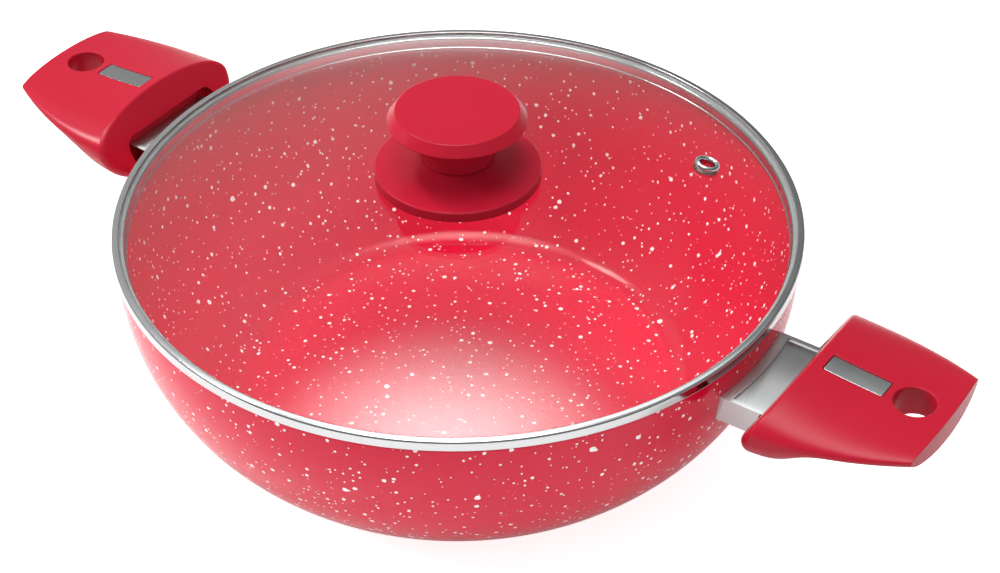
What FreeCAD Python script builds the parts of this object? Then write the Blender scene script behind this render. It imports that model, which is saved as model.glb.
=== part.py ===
"""A two-handled covered wok: coated aluminium pan, lift-off domed glass lid, side grips on steel brackets.

Millimetres. The origin is the middle of the flat base, on the surface the pan stands on. +Z is up and
+X points along the right handle; the left handle is the right one turned half round.
"""
import FreeCAD, Part
import math
import os
import re
import Sketcher

UP = FreeCAD.Vector(0, 0, 1)
ACROSS = FreeCAD.Vector(0, 1, 0)
SIDES = (("right", 0), ("left", 180))
# How soon the grip's width, side edge and crown change on the way out.
WIDTH_POWER, EDGE_POWER, CROWN_POWER = 2.4, 1.4, 2.5
GRIP_SECTIONS = 14
# Points this near to a face count as on it.
NEAR = 0.02

# ---------------------------------------------------------------- driving dimensions
SIZES = [
    # the pan, which is turned about Z
    ("pan_rim_radius", 139, "outside radius of the pan at its rim"),
    ("pan_height", 88, "height of the rim over the base"),
    ("pan_flare", 61, "how far the rim stands out past the flat underside"),
    ("pan_corner_radius", 44, "outside radius of the round corner over the base"),
    ("pan_rim_straight", 5, "upright stretch of wall under the rim"),
    ("pan_wall", 3.2, "thickness of the wall"),
    ("pan_floor", 5, "thickness of the floor"),
    ("pan_rim_round", 1.2, "rounding of the rim's two edges"),
    ("plate_inset", 10, "distance of the steel plate's edge inside the underside's"),
    ("plate_thickness", 1, "thickness of that plate"),
    ("plate_gap", 0.1, "radial gap round that plate"),
    # the lid's steel band and the glass in it
    ("lid_seat_gap", 0.05, "height of the band over the pan's rim"),
    ("band_overhang", 1, "how far the band stands out past the pan's rim"),
    ("band_sheet", 0.6, "thickness of the band's sheet"),
    ("band_lip", 3, "width of the lip over the glass"),
    ("band_round", 1, "outside rounding of the band's upper edge"),
    ("band_skirt_gap", 1, "radial gap between the skirt and the pan's wall"),
    ("band_skirt_depth", 5.5, "how far the skirt reaches into the pan"),
    ("glass_thickness", 3.2, "thickness of the glass"),
    ("glass_bed", 0.1, "film of sealant over and under the glass"),
    ("glass_edge_gap", 0.9, "width of the sealant bead outside the glass"),
    ("glass_flange_width", 1.6, "width of the flat edge of the glass"),
    ("glass_dome_height", 20.4, "rise of the glass over its flat edge"),
    ("glass_blend_radius", 3, "radius of the bend between flat edge and dome"),
    ("glass_hole_radius", 4, "radius of the hole for the knob's screw"),
    # the steam vent, a steel grommet in the glass
    ("vent_inset", 32.9, "distance of the vent inside the glass's flat edge"),
    ("vent_angle", 46, "degrees from the right handle round to the vent"),
    ("vent_bore_radius", 3.1, "radius of the hole in the grommet"),
    ("vent_tube_radius", 4.1, "outside radius of the grommet's tube"),
    ("vent_head_radius", 5.45, "outside radius of the grommet's head"),
    ("vent_head_height", 1.5, "height of the grommet's head"),
    ("vent_ring_thickness", 0.8, "thickness of the ring under the glass"),
    ("vent_gap", 0.1, "gap round the grommet's tube and over and under the glass"),
    ("vent_flare", 0.5, "width and thickness of the tube's rolled end"),
    # the knob and what holds it
    ("knob_base_radius", 33.6, "outside radius of the knob's base disc"),
    ("knob_base_edge", 4.3, "height of the disc's edge"),
    ("knob_base_rise", 4.4, "rise of the disc from its edge to the neck"),
    ("knob_base_dish", 60, "radius of the hollow sweep of the disc's top"),
    ("knob_base_gap", 0.3, "gap between the disc and the glass"),
    ("knob_neck_radius", 14.9, "radius of the knob's neck where it meets the disc"),
    ("knob_groove", 0.6, "width and depth of the groove under the neck"),
    ("knob_under_height", 17.4, "height from the neck's foot to the knob's widest edge"),
    ("knob_under_sweep", 30, "radius of the hollow sweep under the knob"),
    ("knob_head_radius", 27.8, "radius of the knob at its widest edge"),
    ("knob_side_height", 4.1, "height of the knob's sloping side"),
    ("knob_top_radius", 24.9, "radius of the knob's flat top"),
    ("knob_edge_round", 0.7, "rounding of the knob's edges"),
    ("insert_radius", 4.5, "outside radius of the threaded insert"),
    ("insert_length", 11, "length of the threaded insert"),
    ("insert_gap", 0.05, "radial gap round an insert"),
    ("insert_end_room", 0.6, "room past the end of the knob's insert, and of the screw inside it"),
    ("screw_radius", 2.4, "radius of the knob's screw"),
    ("screw_gap", 0.1, "radial gap round a screw"),
    ("screw_head_radius", 4.6, "radius of the screw's head"),
    ("screw_head_bevel", 0.8, "bevel of the screw's head"),
    ("screw_head_height", 2.6, "height of the screw's head"),
    ("seal_radius", 9, "outside radius of a silicone seal"),
    ("seal_thickness", 1.1, "thickness of a silicone seal"),
    ("washer_radius", 10, "outside radius of the steel washer"),
    ("washer_thickness", 1.2, "thickness of the steel washer"),
    # the steel bracket between the pan and each grip
    ("bracket_drop", 11.4, "depth of the bracket's top under the pan's rim"),
    ("bracket_height", 11.4, "height of the bracket"),
    ("bracket_width", 47, "width of the bracket"),
    ("bracket_cheek", 2, "thickness of the bracket's side walls"),
    ("bracket_end_wall", 4, "thickness of the wall against the pan"),
    ("bracket_recess", 1.2, "depth of the bracket's top plate under its edges"),
    ("bracket_plate", 1.8, "thickness of the top plate and the tongue"),
    ("bracket_weld_gap", 0.05, "gap between the pan and what is welded to it"),
    ("tongue_width", 34, "width of the tongue inside the grip"),
    ("tongue_length", 12.5, "length of the tongue inside the grip"),
    ("tongue_gap", 0.15, "gap round the tongue"),
    ("stud_spacing", 24, "distance between the two weld studs"),
    ("stud_radius", 2, "radius of a weld stud"),
    ("stud_reach", 1.5, "reach of a weld stud past its nut"),
    ("nut_across_flats", 7, "width of a hexagon nut"),
    ("nut_thickness", 3.2, "thickness of a hexagon nut"),
    # the moulded grip
    ("grip_start", 8, "distance of the grip's widest section from the pan's rim"),
    ("grip_reach", 79.8, "distance of the grip's outer end from the pan's rim"),
    ("grip_stand_off", 21.8, "distance of the grip's inner face from the pan's rim, at the rim's height"),
    ("grip_lean_angle", 29.25, "degrees that the grip's inner face leans from upright"),
    ("grip_inner_width", 84.4, "width of the grip beside the pan"),
    ("grip_outer_width", 54.4, "width of the grip at its outer end"),
    ("grip_edge_drop", 7.85, "depth of the grip's side edge under the rim, beside the pan"),
    ("grip_edge_rise", 7.7, "rise of that side edge to the outer end"),
    ("grip_crown", 2.65, "height of the outer end's crown over the rim"),
    ("grip_crown_rise", 5.5, "how much higher the crown is beside the pan"),
    ("grip_bulge", 23.3, "depth of the underside below the side edge, beside the pan"),
    ("grip_bulge_end", 23.5, "distance from the pan's rim where the bulge starts to shrink"),
    ("grip_blade", 8, "depth of the underside below the side edge, further out"),
    ("grip_blade_start", 49.8, "distance from the pan's rim where the thin blade starts"),
    ("grip_crown_round", 1, "rounding of the inner face's edge at the crown"),
    ("grip_side_round", 3, "rounding of the inner face's edge at the sides"),
    ("grip_belly_round", 8, "rounding of the inner face's lowest edge"),
    ("grip_end_round", 0.2, "rounding of the outer end's edges"),
    ("socket_width", 56, "width of the recess round the bracket"),
    ("socket_rise", 5, "height of the recess over the bracket"),
    ("socket_fall", 2.6, "depth of the recess under the bracket"),
    ("socket_round", 5.5, "corner radius of the recess"),
    ("socket_wall", 21, "distance of the recess's back wall from the pan's rim"),
    ("hang_hole_radius", 8, "radius of the hanging hole"),
    ("hang_hole_distance", 14.5, "distance of the hanging hole from the grip's outer end"),
    ("hang_hole_round", 0.6, "rounding of the hanging hole's edges"),
    ("inlay_length", 24.5, "length of the steel inlay"),
    ("inlay_width", 9, "width of the steel inlay"),
    ("inlay_distance", 23.45, "distance of the inlay's middle from the hanging hole"),
    ("inlay_thickness", 1.2, "thickness of the inlay"),
    ("inlay_sink", 0.2, "depth of the inlay's face under the grip's"),
    ("inlay_gap", 0.25, "gap round the inlay"),
    ("inlay_corner_round", 0.8, "rounding of the inlay's four corners"),
    ("inlay_edge_round", 0.3, "rounding of the upper edges of the inlay and of its pocket"),
    ("grip_screw_distance", 27.5, "distance of the grip's screw from the pan's rim"),
    ("grip_screw_radius", 2, "radius of the grip's screw"),
    ("grip_screw_head_radius", 3.6, "radius of that screw's head"),
    ("grip_screw_head_height", 2.4, "height of that screw's head"),
    ("grip_screw_sink", 6, "thickness of the grip left between screw head and tongue"),
    ("grip_screw_room", 0.6, "radial room round that screw's head"),
    ("grip_insert_radius", 3.4, "outside radius of the grip's threaded insert"),
    ("grip_insert_length", 8, "length of the grip's threaded insert"),
    ("grip_screw_end_room", 2, "depth of the grip's screw under the insert's end"),
]

doc = FreeCAD.newDocument("covered_wok")
sheet = doc.addObject("Spreadsheet::Sheet", "sizes")
for row, (alias, size, meaning) in enumerate(SIZES, start=1):
    sheet.set(f"A{row}", meaning)
    sheet.set(f"B{row}", str(size))
    sheet.setAlias(f"B{row}", alias)
doc.recompute()
ALIASES = {alias for alias, size, meaning in SIZES}
parts = []


# ---------------------------------------------------------------- formulas and sketches
def linked(formula):
    """The formula with every driving dimension read from the sheet."""
    return re.sub(r"[a-z_]+", lambda word: f"sizes.{word[0]}" if word[0] in ALIASES else word[0], formula)


def number(formula):
    """What the formula comes to."""
    return float(sheet.evalExpression(linked(formula)))


def bind(thing, **formulas):
    """Bind properties of an object to formulas."""
    for name, formula in formulas.items():
        thing.setExpression(name, linked(formula))
    return thing


def shift(thing, x="0", y="0", z="0"):
    """Bind the place of an object to formulas."""
    for axis, formula in (("x", x), ("y", y), ("z", z)):
        thing.setExpression(f"Placement.Base.{axis}", linked(formula))
    return thing


def pin(sketch, vertex, x, y):
    """Hold one vertex of a sketch at (x, y), both formulas."""
    for kind, axis, formula in (("DistanceX", -2, x), ("DistanceY", -1, y)):
        if formula == "0":
            sketch.addConstraint(Sketcher.Constraint("PointOnObject", *vertex, axis))
            continue
        index = sketch.addConstraint(Sketcher.Constraint(kind, -1, 1, *vertex, number(formula)))
        sketch.setExpression(f"Constraints[{index}]", linked(formula))


def arc_between(start, finish, radius, turn):
    """The short arc from start to finish, its centre on the left for turn 1 and on the right for turn -1."""
    chord = finish - start
    side = FreeCAD.Vector(-chord.y, chord.x, 0).normalize()
    height = math.sqrt(max(radius ** 2 - (chord.Length / 2) ** 2, 0))
    centre = start + chord * 0.5 + side * (height * turn)
    first, last = (start, finish) if turn > 0 else (finish, start)
    angles = [math.atan2(point.y - centre.y, point.x - centre.x) for point in (first, last)]
    if angles[1] < angles[0]:
        angles[1] += 2 * math.pi
    return Part.ArcOfCircle(Part.Circle(centre, UP, radius), *angles)


def outline(sketch, corners, arcs=None):
    """A closed outline through corners; arcs gives a side's radius and turn by the side's number."""
    arcs = arcs or {}
    points = [FreeCAD.Vector(number(x), number(y), 0) for x, y in corners]
    sides = []
    for index, start in enumerate(points):
        finish = points[(index + 1) % len(points)]
        if index in arcs:
            radius, turn = arcs[index]
            side = sketch.addGeometry(arc_between(start, finish, number(radius), turn), False)
            rule = sketch.addConstraint(Sketcher.Constraint("Radius", side, number(radius)))
            sketch.setExpression(f"Constraints[{rule}]", linked(radius))
            sides.append(((side, 1), (side, 2)) if turn > 0 else ((side, 2), (side, 1)))
        else:
            side = sketch.addGeometry(Part.LineSegment(start, finish), False)
            sides.append(((side, 1), (side, 2)))
    for index, (x, y) in enumerate(corners):
        sketch.addConstraint(Sketcher.Constraint("Coincident", *sides[index - 1][1], *sides[index][0]))
        pin(sketch, sides[index][0], x, y)


def round_hole(sketch, x, y, radius):
    """A full circle, placed by its centre."""
    centre = FreeCAD.Vector(number(x), number(y), 0)
    circle = sketch.addGeometry(Part.Circle(centre, UP, number(radius)), False)
    rule = sketch.addConstraint(Sketcher.Constraint("Radius", circle, number(radius)))
    sketch.setExpression(f"Constraints[{rule}]", linked(radius))
    pin(sketch, (circle, 3), x, y)


def sketch_on(body, name, role, height="0"):
    """A sketch on one of the body's origin planes, or at a height over it."""
    sketch = body.newObject("Sketcher::SketchObject", name)
    plane = next(item for item in body.Origin.OriginFeatures if item.Role == role)
    sketch.AttachmentSupport = [(plane, "")]
    sketch.MapMode = "FlatFace"
    sketch.setExpression("AttachmentOffset.Base.z", linked(height))
    return sketch


def new_body(name):
    """An empty body of that name."""
    body = doc.addObject("PartDesign::Body", name)
    body.Label = name
    return body


def turned(name, corners, arcs=None):
    """A body turned about Z from an outline of (radius, height) corners."""
    body = new_body(name)
    sketch = sketch_on(body, f"{name}_outline", "XZ_Plane")
    outline(sketch, corners, arcs)
    turn = body.newObject("PartDesign::Revolution", f"{name}_turn")
    turn.Profile = sketch
    turn.ReferenceAxis = (sketch, ["V_Axis"])
    turn.Angle = 360
    sketch.Visibility = False
    doc.recompute()
    return body


def extruded(body, kind, sketch, **lengths):
    """A pad or pocket of a sketch; midplane and reversed are flags, the rest are formulas."""
    feature = body.newObject(f"PartDesign::{kind}", f"{sketch.Name}_{kind.lower()}")
    feature.Profile = sketch
    feature.Midplane = lengths.pop("midplane", False)
    feature.Reversed = lengths.pop("reverse", False)
    bind(feature, **lengths)
    doc.recompute()
    return feature


def rectangle(x_low, x_high, half_width):
    """Corners of a rectangle across the X axis."""
    low = f"-({half_width})"
    return [(x_low, low), (x_high, low), (x_high, half_width), (x_low, half_width)]


def cylinder(name, radius, height, x="0", y="0", z="0", along_x=False):
    """A cylinder standing at (x, y, z), or lying along X from there."""
    rod = doc.addObject("Part::Cylinder", name)
    if along_x:
        rod.Placement.Rotation = FreeCAD.Rotation(ACROSS, 90)
    return shift(bind(rod, Radius=radius, Height=height), x, y, z)


def block(name, length, width, height, x, y, z):
    """A box whose low corner is at (x, y, z)."""
    box = doc.addObject("Part::Box", name)
    return shift(bind(box, Length=length, Width=width, Height=height), x, y, z)


def cut(name, base, *tools):
    """The base less all tools."""
    tool = tools[0]
    if len(tools) > 1:
        tool = doc.addObject("Part::MultiFuse", f"{name}_tools")
        tool.Shapes = list(tools)
    result = doc.addObject("Part::Cut", name)
    result.Base = base
    result.Tool = tool
    return result


def joined(name, *pieces):
    """Pieces fused into one solid."""
    result = doc.addObject("Part::MultiFuse", name)
    result.Shapes = list(pieces)
    return result


def group(name, *pieces):
    """Separate solids kept together."""
    result = doc.addObject("Part::Compound", name)
    result.Links = list(pieces)
    return result


def keep(piece, name, placement=None):
    """Mark an object as a sub-part under its own name, placed as given."""
    piece.Label = name
    if placement:
        piece.Placement = placement
    parts.append(piece)
    return piece


# ---------------------------------------------------------------- the pan
# The wall is two arcs: a corner over the base, and a wide flank that ends upright under the rim.
# The flank's radius makes the two tangent, and the inside follows at one wall's distance.
BASE_RADIUS = "(pan_rim_radius - pan_flare)"
PLATE_RADIUS = f"({BASE_RADIUS} - plate_inset)"
FLANK_RISE = "(pan_height - pan_rim_straight)"
FLANK_RADIUS = (f"((pan_flare^2 + {FLANK_RISE}^2 - 2 * {FLANK_RISE} * pan_corner_radius)"
                f" / (2 * (pan_flare - pan_corner_radius)))")
FLANK_CENTRE = f"(pan_rim_radius - {FLANK_RADIUS})"


def wall_corners(offset):
    """Joint of corner and flank, and top of the flank, on a wall moved outwards by offset."""
    share = f"(({FLANK_RADIUS} + {offset}) / ({FLANK_RADIUS} - pan_corner_radius))"
    joint = (f"{FLANK_CENTRE} + {share} * ({BASE_RADIUS} - {FLANK_CENTRE})",
             f"{FLANK_RISE} + {share} * (pan_corner_radius - {FLANK_RISE})")
    return joint, (f"pan_rim_radius + {offset}", FLANK_RISE)


outer_joint, outer_top = wall_corners("0")
inner_joint, inner_top = wall_corners("(-pan_wall)")
FLOOR_RADIUS = (f"({BASE_RADIUS} + sqrt((pan_corner_radius - pan_wall)^2"
                " - (pan_corner_radius - pan_floor)^2))")
INNER_RIM = "(pan_rim_radius - pan_wall)"

pan_body = keep(turned("pan_body", [
    ("0", "plate_thickness"),
    (f"{PLATE_RADIUS} + plate_gap", "plate_thickness"),
    (f"{PLATE_RADIUS} + plate_gap", "0"),
    (BASE_RADIUS, "0"),
    outer_joint,
    outer_top,
    ("pan_rim_radius", "pan_height - pan_rim_round"),
    ("pan_rim_radius - pan_rim_round", "pan_height"),
    (f"{INNER_RIM} + pan_rim_round", "pan_height"),
    (INNER_RIM, "pan_height - pan_rim_round"),
    inner_top,
    inner_joint,
    (FLOOR_RADIUS, "pan_floor"),
    ("0", "pan_floor"),
], {
    3: ("pan_corner_radius", 1),
    4: (FLANK_RADIUS, 1),
    6: ("pan_rim_round", 1),
    8: ("pan_rim_round", 1),
    10: (f"{FLANK_RADIUS} - pan_wall", -1),
    11: ("pan_corner_radius - pan_wall", -1),
}), "pan_body")

keep(turned("induction_base_plate", [
    ("0", "0"), (PLATE_RADIUS, "0"), (PLATE_RADIUS, "plate_thickness"), ("0", "plate_thickness"),
]), "induction_base_plate")

# ---------------------------------------------------------------- the lid's band, sealant and glass
BAND_RADIUS = "(pan_rim_radius + band_overhang)"
SEAT = "(pan_height + lid_seat_gap)"
CAVITY_LOW = f"({SEAT} + band_sheet)"
GLASS_LOW = f"({CAVITY_LOW} + glass_bed)"
GLASS_HIGH = f"({GLASS_LOW} + glass_thickness)"
CAVITY_HIGH = f"({GLASS_HIGH} + glass_bed)"
BAND_TOP = f"({CAVITY_HIGH} + band_sheet)"
SKIRT_OUT = f"({INNER_RIM} - band_skirt_gap)"
GLASS_RADIUS = f"({BAND_RADIUS} - band_sheet - glass_edge_gap)"
FLANGE_RADIUS = f"({GLASS_RADIUS} - glass_flange_width)"
VENT_DISTANCE = f"({FLANGE_RADIUS} - vent_inset)"

keep(turned("lid_rim_band", [
    (SKIRT_OUT, f"{SEAT} - band_skirt_depth"),
    (SKIRT_OUT, SEAT),
    (f"{BAND_RADIUS} - band_sheet", SEAT),
    (BAND_RADIUS, f"{SEAT} + band_sheet"),
    (BAND_RADIUS, f"{BAND_TOP} - band_round"),
    (f"{BAND_RADIUS} - band_round", BAND_TOP),
    (f"{BAND_RADIUS} - band_lip", BAND_TOP),
    (f"{BAND_RADIUS} - band_lip", CAVITY_HIGH),
    (f"{BAND_RADIUS} - band_sheet", CAVITY_HIGH),
    (f"{BAND_RADIUS} - band_sheet", CAVITY_LOW),
    (f"{SKIRT_OUT} - band_sheet", CAVITY_LOW),
    (f"{SKIRT_OUT} - band_sheet", f"{SEAT} - band_skirt_depth"),
], {2: ("band_sheet", 1), 4: ("band_round", 1)}), "lid_rim_band")

keep(turned("rim_sealant", [
    (GLASS_RADIUS, CAVITY_LOW),
    (f"{BAND_RADIUS} - band_sheet", CAVITY_LOW),
    (f"{BAND_RADIUS} - band_sheet", CAVITY_HIGH),
    (GLASS_RADIUS, CAVITY_HIGH),
]), "rim_sealant")

# The dome's upper face is one sphere, bent into the flat edge by a tangent arc of the blend radius.
CENTRES_APART = f"(({FLANGE_RADIUS}^2 + glass_dome_height^2) / (2 * glass_dome_height))"
DOME_RADIUS = f"({CENTRES_APART} - glass_blend_radius)"
GLASS_PEAK = f"({GLASS_HIGH} + glass_dome_height)"
DOME_CENTRE = f"({GLASS_PEAK} - {DOME_RADIUS})"


def dome_height(radius, offset="0"):
    """Height of the sphere moved outwards by offset, at a radius from the lid's axis."""
    return f"({DOME_CENTRE} + sqrt(({DOME_RADIUS} + {offset})^2 - ({radius})^2))"


def dome_joint(offset):
    """Point where the dome passes into the bend, on a face moved outwards by offset."""
    share = f"(({DOME_RADIUS} + {offset}) / {CENTRES_APART})"
    rise = f"({GLASS_HIGH} + glass_blend_radius - {DOME_CENTRE})"
    return f"{share} * {FLANGE_RADIUS}", f"{DOME_CENTRE} + {share} * {rise}"


glass_blank = turned("glass_blank", [
    ("glass_hole_radius", dome_height("glass_hole_radius", "(-glass_thickness)")),
    dome_joint("(-glass_thickness)"),
    (FLANGE_RADIUS, GLASS_LOW),
    (GLASS_RADIUS, GLASS_LOW),
    (GLASS_RADIUS, GLASS_HIGH),
    (FLANGE_RADIUS, GLASS_HIGH),
    dome_joint("0"),
    ("glass_hole_radius", dome_height("glass_hole_radius")),
], {
    0: (f"{DOME_RADIUS} - glass_thickness", -1),
    1: ("glass_blend_radius + glass_thickness", 1),
    5: ("glass_blend_radius", -1),
    6: (DOME_RADIUS, 1),
})

# The vent stands square to the dome, so its frame leans outwards with the glass.
vent_lean = math.degrees(math.asin(number(VENT_DISTANCE) / number(DOME_RADIUS)))
vent_turn = FreeCAD.Rotation(UP, number("vent_angle"))
vent_foot = vent_turn.multVec(FreeCAD.Vector(number(VENT_DISTANCE), 0, 0))
vent_foot.z = number(dome_height(VENT_DISTANCE))
vent_frame = FreeCAD.Placement(vent_foot, vent_turn * FreeCAD.Rotation(ACROSS, vent_lean))
below_glass = FreeCAD.Placement(UP * (-2 * number("glass_thickness")), FreeCAD.Rotation())

vent_drill = doc.addObject("Part::Cylinder", "vent_drill")
bind(vent_drill, Radius="vent_tube_radius + vent_gap", Height="4 * glass_thickness")
vent_drill.Placement = vent_frame * below_glass
keep(cut("lid_glass", glass_blank, vent_drill), "lid_glass")

VENT_UNDER = "(-(glass_thickness + 2 * vent_gap))"
VENT_FOOT = f"({VENT_UNDER} - vent_ring_thickness)"
VENT_HEAD = "(vent_gap + vent_head_height)"
VENT_CREST = "((vent_head_radius + vent_bore_radius) / 2)"
keep(turned("vent_grommet", [
    ("vent_bore_radius", f"{VENT_FOOT} - vent_flare"),
    ("vent_tube_radius + vent_flare", f"{VENT_FOOT} - vent_flare"),
    ("vent_tube_radius + vent_flare", VENT_FOOT),
    ("vent_tube_radius", VENT_FOOT),
    ("vent_tube_radius", "vent_gap"),
    ("vent_head_radius", "vent_gap"),
    (VENT_CREST, VENT_HEAD),
    ("vent_bore_radius", "vent_gap"),
], {5: ("vent_head_height", 1), 6: ("vent_head_height", 1)}), "vent_grommet", vent_frame)

keep(turned("vent_ring", [
    ("vent_tube_radius + vent_gap", VENT_FOOT),
    ("vent_head_radius", VENT_FOOT),
    ("vent_head_radius", VENT_UNDER),
    ("vent_tube_radius + vent_gap", VENT_UNDER),
]), "vent_ring", vent_frame)

# ---------------------------------------------------------------- the knob
BASE_LOW = dome_height("knob_base_radius", "knob_base_gap")
BASE_EDGE = f"({BASE_LOW} + knob_base_edge)"
NECK_FOOT = f"({BASE_EDGE} + knob_base_rise)"
SCREW_HOLE = "(screw_radius + screw_gap)"
SEAL_TOP = f"({GLASS_PEAK} + seal_thickness)"
keep(turned("knob_base", [
    (SCREW_HOLE, SEAL_TOP),
    ("seal_radius + knob_base_gap", SEAL_TOP),
    ("seal_radius + knob_base_gap", dome_height("seal_radius + knob_base_gap", "knob_base_gap")),
    ("knob_base_radius", BASE_LOW),
    ("knob_base_radius", f"{BASE_EDGE} - knob_edge_round"),
    ("knob_base_radius - knob_edge_round", BASE_EDGE),
    ("knob_neck_radius", NECK_FOOT),
    (SCREW_HOLE, NECK_FOOT),
], {
    2: (f"{DOME_RADIUS} + knob_base_gap", -1),
    4: ("knob_edge_round", 1),
    5: ("knob_base_dish", -1),
}), "knob_base")

HEAD_EDGE = f"({NECK_FOOT} + knob_under_height)"
KNOB_TOP = f"({HEAD_EDGE} + knob_side_height)"
INSERT_HOLE = "(insert_radius + insert_gap)"
keep(turned("knob_grip", [
    (INSERT_HOLE, NECK_FOOT),
    ("knob_neck_radius - knob_groove", NECK_FOOT),
    ("knob_neck_radius - knob_groove", f"{NECK_FOOT} + knob_groove"),
    ("knob_neck_radius", f"{NECK_FOOT} + knob_groove"),
    ("knob_head_radius - knob_edge_round", f"{HEAD_EDGE} - knob_edge_round"),
    ("knob_head_radius", HEAD_EDGE),
    ("knob_top_radius", f"{KNOB_TOP} - knob_edge_round / 2"),
    ("knob_top_radius - knob_edge_round", KNOB_TOP),
    ("0", KNOB_TOP),
    ("0", f"{NECK_FOOT} + insert_length + insert_end_room"),
    (INSERT_HOLE, f"{NECK_FOOT} + insert_length + insert_end_room"),
], {
    3: ("knob_under_sweep", -1),
    4: ("knob_edge_round", 1),
    6: ("knob_edge_round", 1),
}), "knob_grip")

keep(turned("knob_insert", [
    (SCREW_HOLE, NECK_FOOT),
    ("insert_radius", NECK_FOOT),
    ("insert_radius", f"{NECK_FOOT} + insert_length"),
    (SCREW_HOLE, f"{NECK_FOOT} + insert_length"),
]), "knob_insert")

# Under the glass, from the top: seal, steel washer, screw head.
LOWER_SEAL_TOP = dome_height("seal_radius", "(-glass_thickness)")
WASHER_TOP = f"({LOWER_SEAL_TOP} - seal_thickness)"
HEAD_TOP = f"({WASHER_TOP} - washer_thickness)"
keep(turned("knob_screw", [
    ("0", f"{HEAD_TOP} - screw_head_height"),
    ("screw_head_radius - screw_head_bevel", f"{HEAD_TOP} - screw_head_height"),
    ("screw_head_radius", f"{HEAD_TOP} - screw_head_height + screw_head_bevel"),
    ("screw_head_radius", HEAD_TOP),
    ("screw_radius", HEAD_TOP),
    ("screw_radius", f"{NECK_FOOT} + insert_length - insert_end_room"),
    ("0", f"{NECK_FOOT} + insert_length - insert_end_room"),
]), "knob_screw")


def ring(name, low, thickness, radius):
    """A flat ring round the knob's screw."""
    return turned(name, [
        (SCREW_HOLE, low),
        (radius, low),
        (radius, f"{low} + {thickness}"),
        (SCREW_HOLE, f"{low} + {thickness}"),
    ])


keep(ring("knob_washer", HEAD_TOP, "washer_thickness", "washer_radius"), "knob_washer")
keep(group("knob_seals",
           ring("upper_seal", GLASS_PEAK, "seal_thickness", "seal_radius"),
           ring("lower_seal", WASHER_TOP, "seal_thickness", "seal_radius")), "knob_seals")

# ---------------------------------------------------------------- the handles
BRACKET_TOP = "(pan_height - bracket_drop)"
BRACKET_LOW = f"({BRACKET_TOP} - bracket_height)"
PLATE_TOP = f"({BRACKET_TOP} - bracket_recess)"
PLATE_LOW = f"({PLATE_TOP} - bracket_plate)"
BRACKET_END = "(pan_rim_radius + socket_wall)"
POCKET_START = "(pan_rim_radius + bracket_end_wall)"
TONGUE_END = f"({BRACKET_END} + tongue_length)"
STUD_HEIGHT = f"(({BRACKET_LOW} + {PLATE_LOW}) / 2)"
STUD_START = "(pan_rim_radius - bracket_end_wall * 2)"
GRIP_SCREW_X = "(pan_rim_radius + grip_screw_distance)"
GRIP_SCREW_SEAT = f"({PLATE_LOW} - tongue_gap - grip_screw_sink)"
GRIP_INSERT_LOW = f"({PLATE_TOP} + tongue_gap)"
HANG_HOLE_X = "(pan_rim_radius + grip_reach - hang_hole_distance)"
INLAY_X = f"({HANG_HOLE_X} - inlay_distance)"


def pan_clear(name):
    """The pan's wall and the space inside it, which the welded pieces stop short of."""
    joint, top = wall_corners("bracket_weld_gap")
    return turned(name, [
        ("0", joint[1]), joint, top, (top[0], "pan_height"), ("0", "pan_height"),
    ], {1: (f"{FLANK_RADIUS} + bracket_weld_gap", 1)})


def bracket_blank(side):
    """A steel box with a sunk top plate, open underneath, and a tongue for the grip."""
    body = new_body(f"bracket_blank_{side}")
    inner_width = "(bracket_width / 2 - bracket_cheek)"
    base = sketch_on(body, f"bracket_base_{side}", "XY_Plane", BRACKET_LOW)
    outline(base, rectangle(STUD_START, BRACKET_END, "bracket_width / 2"))
    extruded(body, "Pad", base, Length="bracket_height")
    # The upper hollow ends in a wall that is bent like the pan, the lower one in a flat for the nuts.
    bend = f"sqrt({POCKET_START}^2 - {inner_width}^2)"
    past = f"({BRACKET_END} + bracket_cheek)"
    upper = sketch_on(body, f"bracket_recess_{side}", "XY_Plane", BRACKET_TOP)
    outline(upper, rectangle(bend, past, inner_width), {3: (POCKET_START, -1)})
    extruded(body, "Pocket", upper, Length="bracket_recess")
    lower = sketch_on(body, f"bracket_channel_{side}", "XY_Plane", BRACKET_LOW)
    outline(lower, rectangle(POCKET_START, past, inner_width))
    extruded(body, "Pocket", lower, reverse=True,
             Length="bracket_height - bracket_recess - bracket_plate")
    tongue = sketch_on(body, f"bracket_tongue_{side}", "XY_Plane", PLATE_LOW)
    outline(tongue, rectangle(f"{BRACKET_END} - bracket_cheek", TONGUE_END, "tongue_width / 2"))
    extruded(body, "Pad", tongue, Length="bracket_plate")
    return body


def stud_rods(name, radius, reach):
    """Two rods along X, from inside the pan's wall to a distance past the end wall's flat."""
    return [cylinder(f"{name}_{end}", radius, f"{POCKET_START} - {STUD_START} + {reach}",
                     STUD_START, f"{sign} * stud_spacing / 2", STUD_HEIGHT, True)
            for end, sign in (("front", -1), ("back", 1))]


def stud_nuts(side):
    """Two hexagon nuts on the flat of the bracket's end wall, each with a flat side up."""
    nuts = []
    for end, sign in (("front", -1), ("back", 1)):
        prism = doc.addObject("Part::Prism", f"nut_blank_{side}_{end}")
        prism.Polygon = 6
        bind(prism, Circumradius="nut_across_flats / sqrt(3)", Height="nut_thickness")
        prism.Placement.Rotation = FreeCAD.Rotation(ACROSS, 90) * FreeCAD.Rotation(UP, 30)
        shift(prism, POCKET_START, f"{sign} * stud_spacing / 2", STUD_HEIGHT)
        hole = cylinder(f"nut_hole_{side}_{end}", "stud_radius + screw_gap", "nut_thickness * 3",
                        "pan_rim_radius", f"{sign} * stud_spacing / 2", STUD_HEIGHT, True)
        nuts.append(cut(f"nut_{side}_{end}", prism, hole))
    return nuts


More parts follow.
